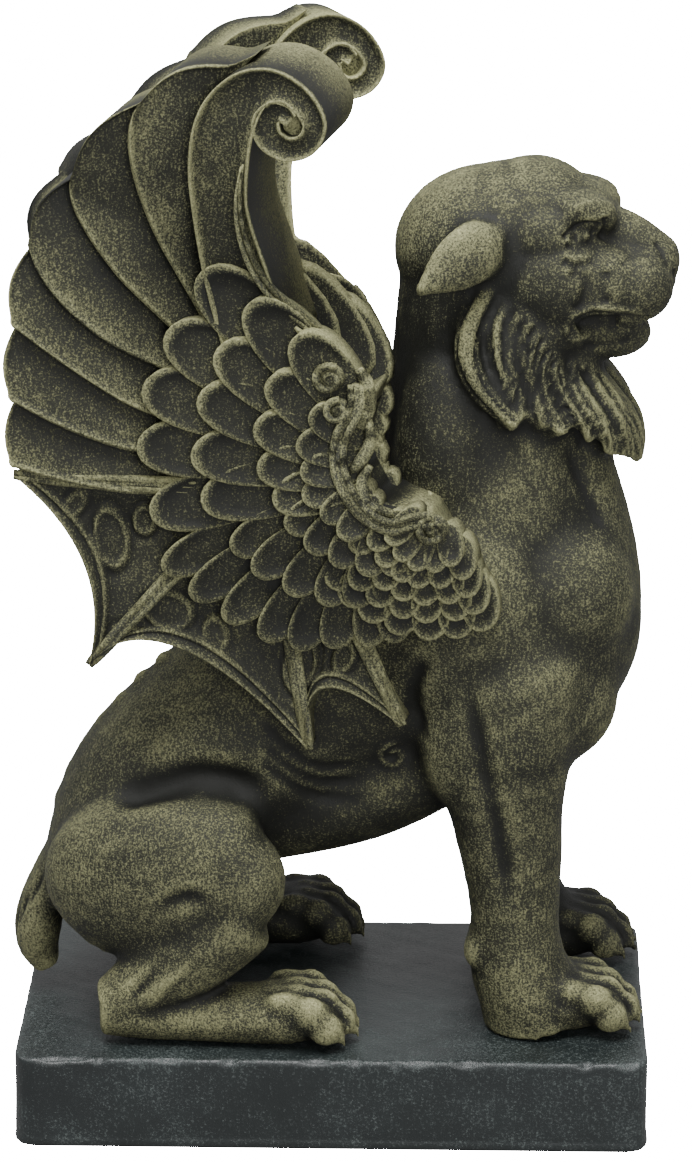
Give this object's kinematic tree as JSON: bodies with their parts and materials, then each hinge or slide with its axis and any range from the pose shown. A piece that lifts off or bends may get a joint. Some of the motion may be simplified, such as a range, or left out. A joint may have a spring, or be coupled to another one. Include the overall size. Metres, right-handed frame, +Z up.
{
  "type": "winged gargoyle statue",
  "caption": "Small cast statue of a winged gargoyle: a sitting lion-like beast with a bearded head, tall scrolled wings and a slab plinth, in a dark aged green finish.",
  "frame": {"origin": "centre of the plinth's underside", "axes": "+X towards the beast's front, +Y towards its left, +Z up"},
  "size_m": [0.1637, 0.088, 0.2748],
  "materials": {
    "aged_cast": "matt dark green-black, dry-brushed yellow-beige on what stands out",
    "slate_cast": "matt dark slate grey-green with pale scuffed edges"
  },
  "bodies": {
    "root": {"winged_gargoyle": "aged_cast", "plinth": "slate_cast"}
  },
  "joints": []
}
